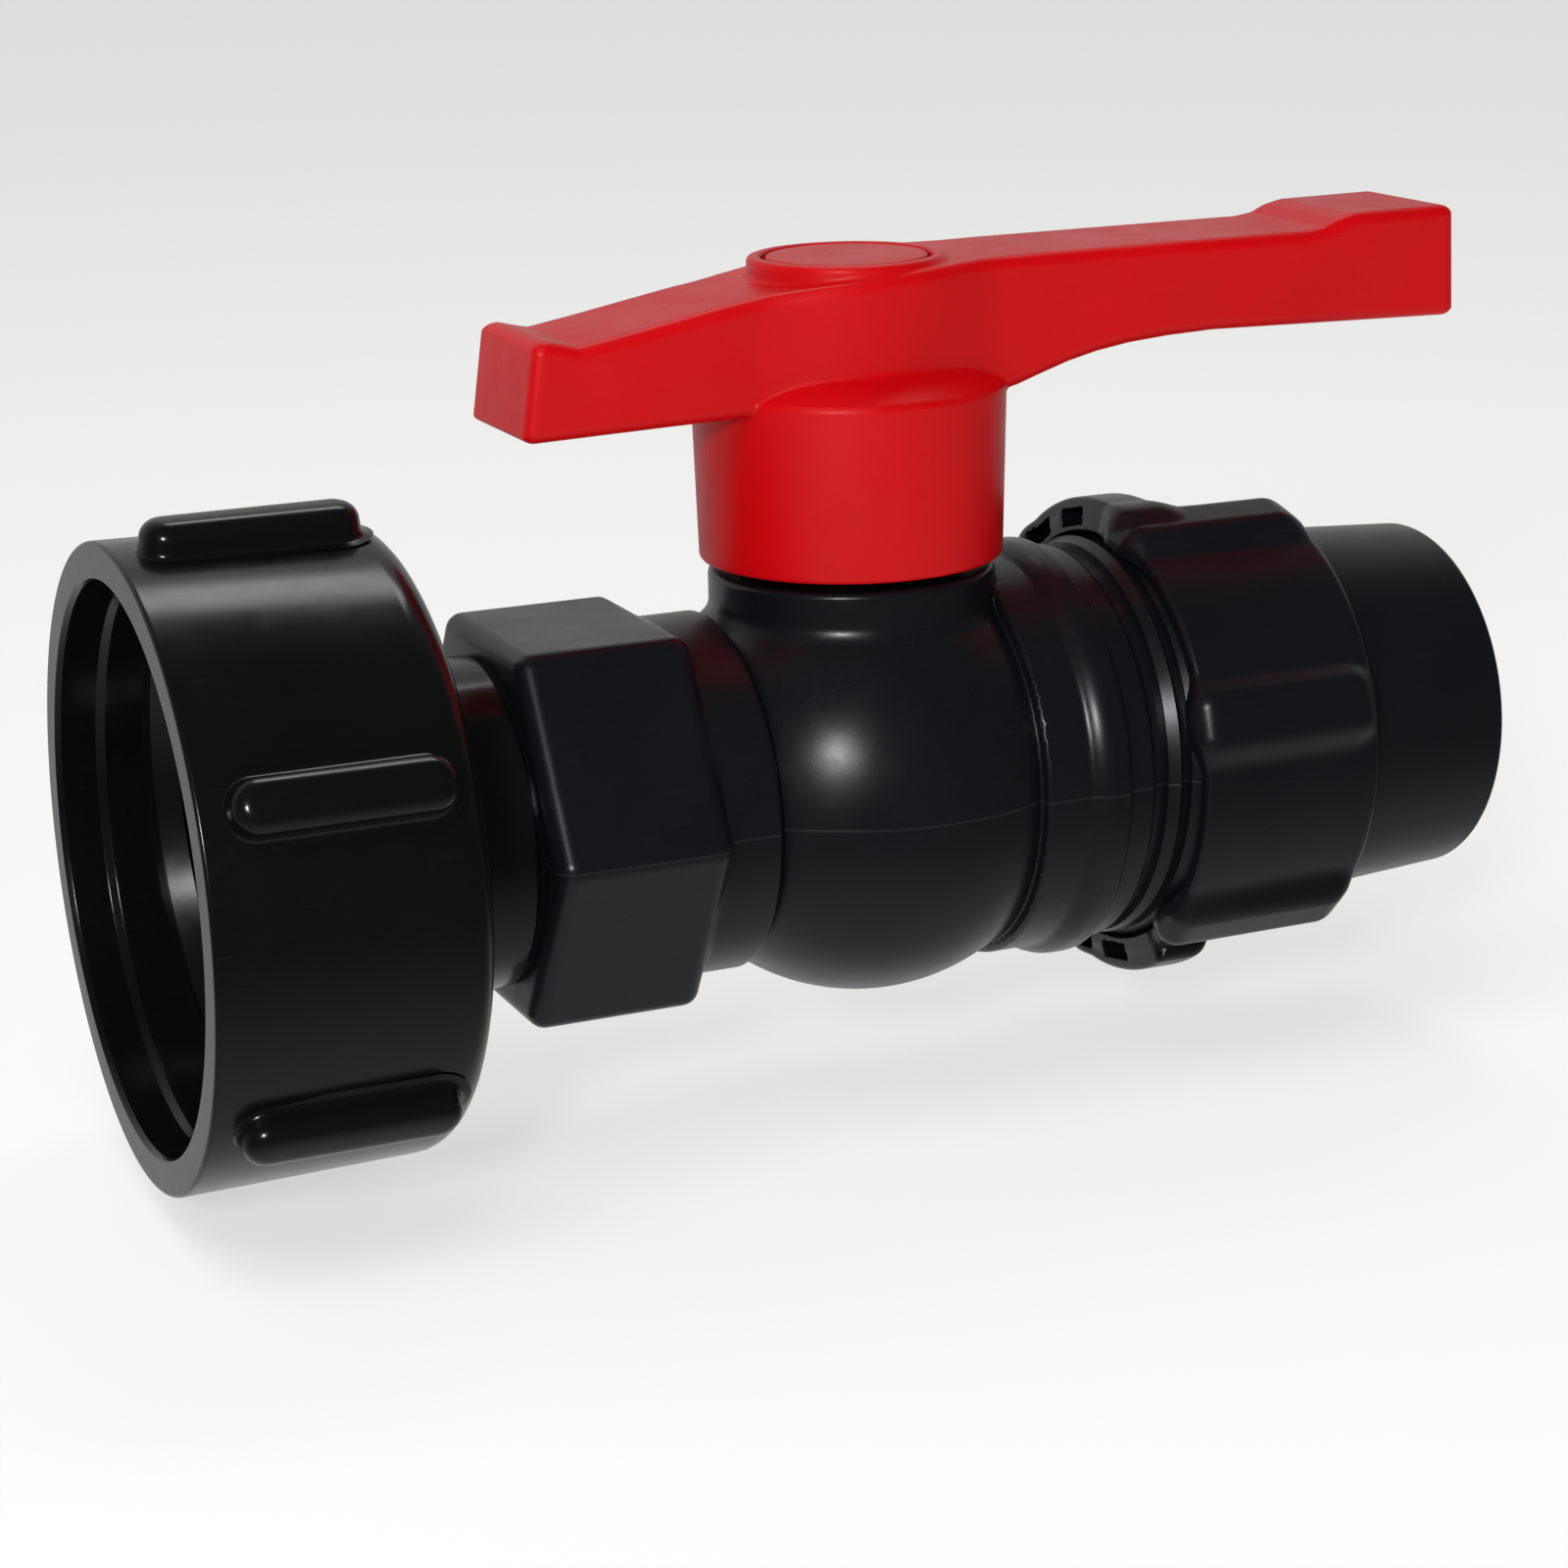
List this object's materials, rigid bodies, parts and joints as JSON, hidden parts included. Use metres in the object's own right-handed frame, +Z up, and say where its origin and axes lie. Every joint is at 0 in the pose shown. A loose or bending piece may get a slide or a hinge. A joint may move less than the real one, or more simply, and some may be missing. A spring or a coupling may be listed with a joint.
{
  "type": "seacock valve",
  "caption": "Plastic quarter-turn ball valve with a lugged coarse-thread tank adapter, red lever and union tail.",
  "frame": {"origin": "centre of the tank adapter's mouth, on the plane of its rim", "axes": "+X along the flow from the adapter to the tail, +Z up along the stem, +Y away to the back"},
  "size_m": [0.1596, 0.0714, 0.0985],
  "materials": {
    "adapter_black": "glossy black injection-moulded polypropylene",
    "body_graphite": "satin blue-black moulded plastic of the body, nut and tail",
    "handle_red": "satin red moulded polypropylene",
    "seat_white": "white PTFE",
    "ball_grey": "polished dark grey plastic ball",
    "seal_rubber": "black EPDM rubber",
    "screw_steel": "stainless steel screw and washer"
  },
  "bodies": {
    "valve": {"tank_adapter": "adapter_black", "adapter_gasket": "seal_rubber", "valve_body": "body_graphite", "inlet_seat": "seat_white", "inlet_seat_ring": "seal_rubber", "outlet_seat": "seat_white", "outlet_seat_ring": "seal_rubber", "seat_carrier": "body_graphite", "carrier_ring": "seal_rubber"},
    "operator": {"handle": "handle_red", "handle_screw": "screw_steel", "screw_washer": "screw_steel", "handle_cap": "handle_red", "stem": "ball_grey", "stem_ring_lower": "seal_rubber", "stem_ring_upper": "seal_rubber", "stem_washer": "seat_white", "ball": "ball_grey"},
    "tail": {"tail_piece": "body_graphite", "face_ring": "seal_rubber"},
    "nut": {"union_nut": "body_graphite"}
  },
  "joints": [
    {"name": "handle_turn", "type": "hinge", "parent": "valve", "child": "operator", "pos_m": [0.085, 0, 0], "axis": [0, 0, 1], "range_deg": [-90, 0]},
    {"name": "tail_slide", "type": "slide", "parent": "valve", "child": "tail", "axis": [1, 0, 0], "range_m": [0, 0.014]},
    {"name": "nut_turn", "type": "hinge", "parent": "tail", "child": "nut", "pos_m": [0.125, 0, 0], "axis": [1, 0, 0], "range_deg": [0, 1681]}
  ],
  "couplings": [
    {"joint": "nut_turn", "follows": "tail_slide", "rad_per_m": 2094.4}
  ]
}
